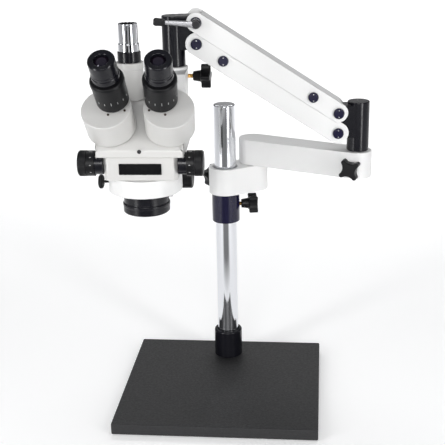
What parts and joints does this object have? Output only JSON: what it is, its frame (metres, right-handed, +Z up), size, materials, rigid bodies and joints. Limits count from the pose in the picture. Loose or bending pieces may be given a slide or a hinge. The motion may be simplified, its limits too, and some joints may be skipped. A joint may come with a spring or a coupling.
{
  "type": "stereo microscope",
  "caption": "Trinocular stereo microscope with a zoom body, rack focus and camera tube, carried on a jointed parallel boom arm over a flat base with a chrome pole.",
  "frame": {"origin": "centre of the base plate's underside", "axes": "+Z up along the pole, +X to the right and +Y away from the person at the eyepieces, square to the base plate"},
  "size_m": [0.3743, 0.3512, 0.5635],
  "materials": {
    "white_paint": "satin white powder coat with a fine texture",
    "head_grey": "satin warm grey-white paint",
    "black_metal": "satin black coating, fine texture",
    "navy_cap": "glossy navy-black",
    "knob_plastic": "moulded satin black",
    "badge_black": "gloss black, blank",
    "chrome": "polished chrome plate",
    "steel": "machined steel",
    "dark_steel": "blackened bright steel",
    "rubber": "matt black rubber",
    "lens_glass": "coated optical glass",
    "prism_glass": "polished prism glass"
  },
  "bodies": {
    "base": {"base_plate": "black_metal", "foot_front_left": "rubber", "foot_front_right": "rubber", "foot_back_left": "rubber", "foot_back_right": "rubber", "pole_fixing_screw": "steel", "base_collar": "black_metal", "pole": "chrome"},
    "carriage": {"safety_collar": "navy_cap"},
    "carriage_knob": {"safety_collar_knob": "knob_plastic"},
    "bracket": {"pole_bracket": "white_paint", "bracket_bush": "steel", "arm_hinge_pin": "steel"},
    "bracket_knob": {"bracket_knob": "knob_plastic"},
    "arm": {"horizontal_arm": "white_paint"},
    "arm_knob": {"arm_knob": "knob_plastic"},
    "right_post": {"right_post": "black_metal"},
    "upper_bar": {"upper_bar": "white_paint", "upper_right_pivot_pin": "navy_cap", "upper_left_pivot_pin": "navy_cap", "upper_spring_bolt": "navy_cap", "counterbalance_spring": "steel"},
    "lower_bar": {"lower_bar": "white_paint", "lower_right_pivot_pin": "navy_cap", "lower_left_pivot_pin": "navy_cap", "lower_spring_bolt": "navy_cap"},
    "left_post": {"left_post": "black_metal"},
    "lock_lever": {"lock_lever": "dark_steel", "lock_lever_grip": "knob_plastic"},
    "focus_mount": {"focus_column": "white_paint", "focus_rack": "steel"},
    "column_knob": {"column_knob": "knob_plastic"},
    "ring_holder": {"ring_holder": "white_paint"},
    "focus_drive": {"focus_pinion": "steel", "focus_knob_left": "knob_plastic", "focus_knob_right": "knob_plastic"},
    "ring_thumbscrew": {"ring_thumbscrew": "knob_plastic"},
    "microscope": {"zoom_body": "head_grey", "front_badge": "badge_black", "objective_bezel": "black_metal", "objective_lens": "lens_glass", "head_casing": "head_grey", "photo_port": "white_paint"},
    "zoom_drive": {"zoom_shaft": "steel", "zoom_knob_left": "knob_plastic", "zoom_knob_right": "knob_plastic"},
    "zoom_lenses": {"zoom_lens_carriage": "steel"},
    "prism_box_left": {"prism_housing_left": "head_grey", "prism_left": "prism_glass"},
    "prism_box_right": {"prism_housing_right": "head_grey", "prism_right": "prism_glass"},
    "diopter_left": {"diopter_ring_left": "knob_plastic"},
    "diopter_right": {"diopter_ring_right": "knob_plastic"},
    "eyepiece_left": {"eyepiece_left": "black_metal", "eye_lens_left": "lens_glass"},
    "eyepiece_right": {"eyepiece_right": "black_metal", "eye_lens_right": "lens_glass"},
    "photo_clamp": {"photo_clamp_ring": "black_metal"},
    "photo_tube": {"photo_tube": "chrome"},
    "beam_selector": {"beam_selector": "knob_plastic"}
  },
  "joints": [
    {"name": "carriage_slide", "type": "slide", "parent": "base", "child": "carriage", "axis": [0, 0, 1], "range_m": [-0.175, 0.09]},
    {"name": "carriage_knob_turn", "type": "hinge", "parent": "carriage", "child": "carriage_knob", "pos_m": [0, 0.095, 0.2642], "axis": [0.9816, 0.1908, 0], "range_deg": [0, 90]},
    {"name": "bracket_swivel", "type": "hinge", "parent": "carriage", "child": "bracket", "pos_m": [0, 0.095, 0.3], "axis": [0, 0, 1], "range_deg": [-150, 150]},
    {"name": "bracket_knob_turn", "type": "hinge", "parent": "bracket", "child": "bracket_knob", "pos_m": [0, 0.095, 0.3], "axis": [-0.6157, 0.788, 0], "range_deg": [0, 90]},
    {"name": "arm_swivel", "type": "hinge", "parent": "bracket", "child": "arm", "pos_m": [0.0404, 0.1193, 0.34], "axis": [0, 0, 1], "range_deg": [-30, 90]},
    {"name": "arm_knob_turn", "type": "hinge", "parent": "arm", "child": "arm_knob", "pos_m": [0.1935, 0.0527, 0.344], "axis": [-0.2823, -0.9593, 0], "range_deg": [0, 90]},
    {"name": "post_swivel", "type": "hinge", "parent": "arm", "child": "right_post", "pos_m": [0.1935, 0.0527, 0.39], "axis": [0, 0, 1], "range_deg": [-40, 60]},
    {"name": "arm_pitch", "type": "hinge", "parent": "right_post", "child": "upper_bar", "pos_m": [0.16271, 0.04906, 0.4211], "axis": [0.1175, -0.9931, 0], "range_deg": [-4, 40], "deforming": ["counterbalance_spring"]},
    {"name": "lower_bar_pitch", "type": "hinge", "parent": "right_post", "child": "lower_bar", "pos_m": [0.16271, 0.04906, 0.3922], "axis": [0.1175, -0.9931, 0], "range_deg": [-4, 40]},
    {"name": "left_post_level", "type": "hinge", "parent": "upper_bar", "child": "left_post", "pos_m": [-0.02925, 0.02634, 0.54812], "axis": [0.1175, -0.9931, 0], "range_deg": [-40, 4]},
    {"name": "lock_lever_turn", "type": "hinge", "parent": "upper_bar", "child": "lock_lever", "pos_m": [-0.02925, 0.02634, 0.54812], "axis": [0.1175, -0.9931, 0], "range_deg": [-20, 60]},
    {"name": "mount_swivel", "type": "hinge", "parent": "left_post", "child": "focus_mount", "pos_m": [-0.06003, 0.02269, 0.47], "axis": [0, 0, -1], "range_deg": [-5, 60]},
    {"name": "column_knob_turn", "type": "hinge", "parent": "focus_mount", "child": "column_knob", "pos_m": [-0.06003, 0.02269, 0.4731], "axis": [1, -0.0087, 0], "range_deg": [0, 90]},
    {"name": "focus_slide", "type": "slide", "parent": "focus_mount", "child": "ring_holder", "axis": [0, 0, 1], "range_m": [-0.018, 0.03]},
    {"name": "focus_turn", "type": "hinge", "parent": "ring_holder", "child": "focus_drive", "pos_m": [-0.08444, -0.02304, 0.3446], "axis": [0.9998, 0.0175, 0], "range_deg": [-246, 148]},
    {"name": "ring_thumbscrew_turn", "type": "hinge", "parent": "ring_holder", "child": "ring_thumbscrew", "pos_m": [-0.08293, -0.10943, 0.361], "axis": [-0.9998, -0.0209, 0], "range_deg": [0, 90]},
    {"name": "microscope_turn", "type": "hinge", "parent": "ring_holder", "child": "microscope", "pos_m": [-0.08293, -0.10943, 0.363], "axis": [0, 0, 1], "continuous": true},
    {"name": "zoom_turn", "type": "hinge", "parent": "microscope", "child": "zoom_drive", "pos_m": [-0.0817, -0.1414, 0.395], "axis": [0.9993, 0.0384, 0], "range_deg": [-120, 120]},
    {"name": "zoom_lens_slide", "type": "slide", "parent": "microscope", "child": "zoom_lenses", "axis": [0, 0, 1], "range_m": [-0.004, 0.004]},
    {"name": "eye_distance_left", "type": "hinge", "parent": "microscope", "child": "prism_box_left", "pos_m": [-0.11907, -0.13561, 0.44495], "axis": [-0.0286, -0.6191, 0.7848], "range_deg": [-26, 26]},
    {"name": "eye_distance_right", "type": "hinge", "parent": "microscope", "child": "prism_box_right", "pos_m": [-0.04488, -0.13276, 0.44495], "axis": [0.076, -0.6151, 0.7848], "range_deg": [-26, 26]},
    {"name": "diopter_turn_left", "type": "hinge", "parent": "prism_box_left", "child": "diopter_left", "pos_m": [-0.11123, -0.1607, 0.48915], "axis": [-0.0286, -0.6191, 0.7848], "range_deg": [-60, 60]},
    {"name": "diopter_turn_right", "type": "hinge", "parent": "prism_box_right", "child": "diopter_right", "pos_m": [-0.05077, -0.15837, 0.48915], "axis": [0.076, -0.6151, 0.7848], "range_deg": [-60, 60]},
    {"name": "diopter_lift_left", "type": "slide", "parent": "prism_box_left", "child": "eyepiece_left", "axis": [-0.0286, -0.6191, 0.7848], "range_m": [-0.001, 0.001]},
    {"name": "diopter_lift_right", "type": "slide", "parent": "prism_box_right", "child": "eyepiece_right", "axis": [0.076, -0.6151, 0.7848], "range_m": [-0.001, 0.001]},
    {"name": "photo_clamp_turn", "type": "hinge", "parent": "microscope", "child": "photo_clamp", "pos_m": [-0.10207, -0.08014, 0.518], "axis": [0, 0, 1], "range_deg": [-45, 0]},
    {"name": "photo_tube_slide", "type": "slide", "parent": "microscope", "child": "photo_tube", "axis": [0, 0, 1], "range_m": [0, 0.012]},
    {"name": "beam_selector_pull", "type": "slide", "parent": "microscope", "child": "beam_selector", "axis": [0.9993, 0.0384, 0], "range_m": [0, 0.008]}
  ],
  "couplings": [
    {"joint": "lower_bar_pitch", "follows": "arm_pitch", "ratio": 1},
    {"joint": "left_post_level", "follows": "arm_pitch", "ratio": -1},
    {"joint": "focus_turn", "follows": "focus_slide", "rad_per_m": -142.86},
    {"joint": "zoom_turn", "follows": "zoom_lens_slide", "rad_per_m": 523},
    {"joint": "eye_distance_right", "follows": "eye_distance_left", "ratio": -1},
    {"joint": "diopter_turn_left", "follows": "diopter_lift_left", "rad_per_m": 1047},
    {"joint": "diopter_turn_right", "follows": "diopter_lift_right", "rad_per_m": 1047}
  ]
}
